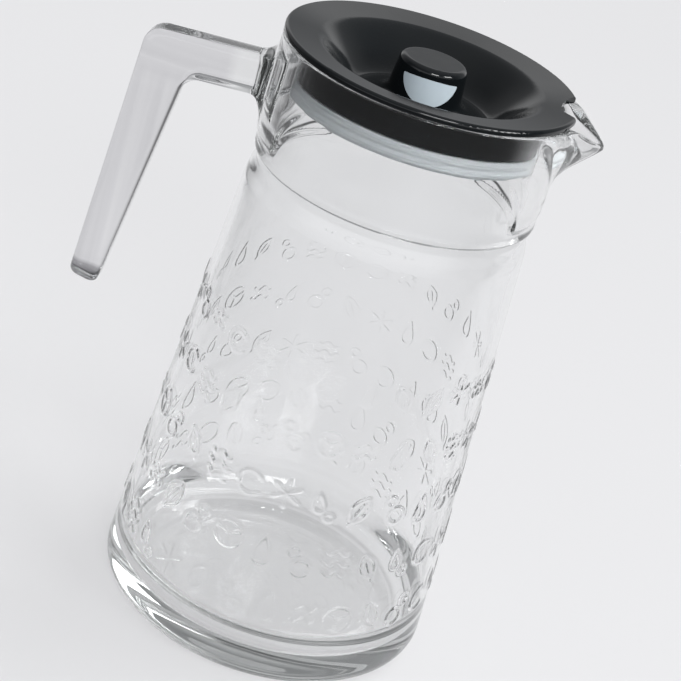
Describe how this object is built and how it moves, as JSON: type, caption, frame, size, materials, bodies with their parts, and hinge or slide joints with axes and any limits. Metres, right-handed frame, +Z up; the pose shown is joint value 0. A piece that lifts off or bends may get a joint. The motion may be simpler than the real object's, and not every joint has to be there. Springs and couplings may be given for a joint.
{
  "type": "glass pitcher",
  "caption": "Tall tapered clear glass pitcher with a free-ended solid glass handle, a pinched spout and a dark lift-off plug lid with a central knob and a pale sealing ring.",
  "frame": {"origin": "on the jug's axis, in the plane the base stands on", "axes": "+Z up along the jug's axis, +X towards the spout, the handle on -X"},
  "size_m": [0.1763, 0.1324, 0.2365],
  "materials": {
    "clear_glass": "clear, fire-polished",
    "lid_plastic": "dark charcoal, smooth",
    "insert_plastic": "pale blue-grey, smooth",
    "seal_silicone": "translucent pale blue-grey"
  },
  "bodies": {
    "jug": {"jug_body": "clear_glass", "handle": "clear_glass"},
    "seal": {"seal_ring": "seal_silicone"},
    "lid": {"lid_shell": "lid_plastic", "knob_insert": "insert_plastic"}
  },
  "joints": [
    {"name": "lid_lift", "type": "slide", "parent": "jug", "child": "seal", "axis": [0, 0, 1], "range_m": [0, 0.06]},
    {"name": "lid_turn", "type": "hinge", "parent": "seal", "child": "lid", "pos_m": [0, 0, 0.2355], "axis": [0, 0, 1], "continuous": true}
  ]
}
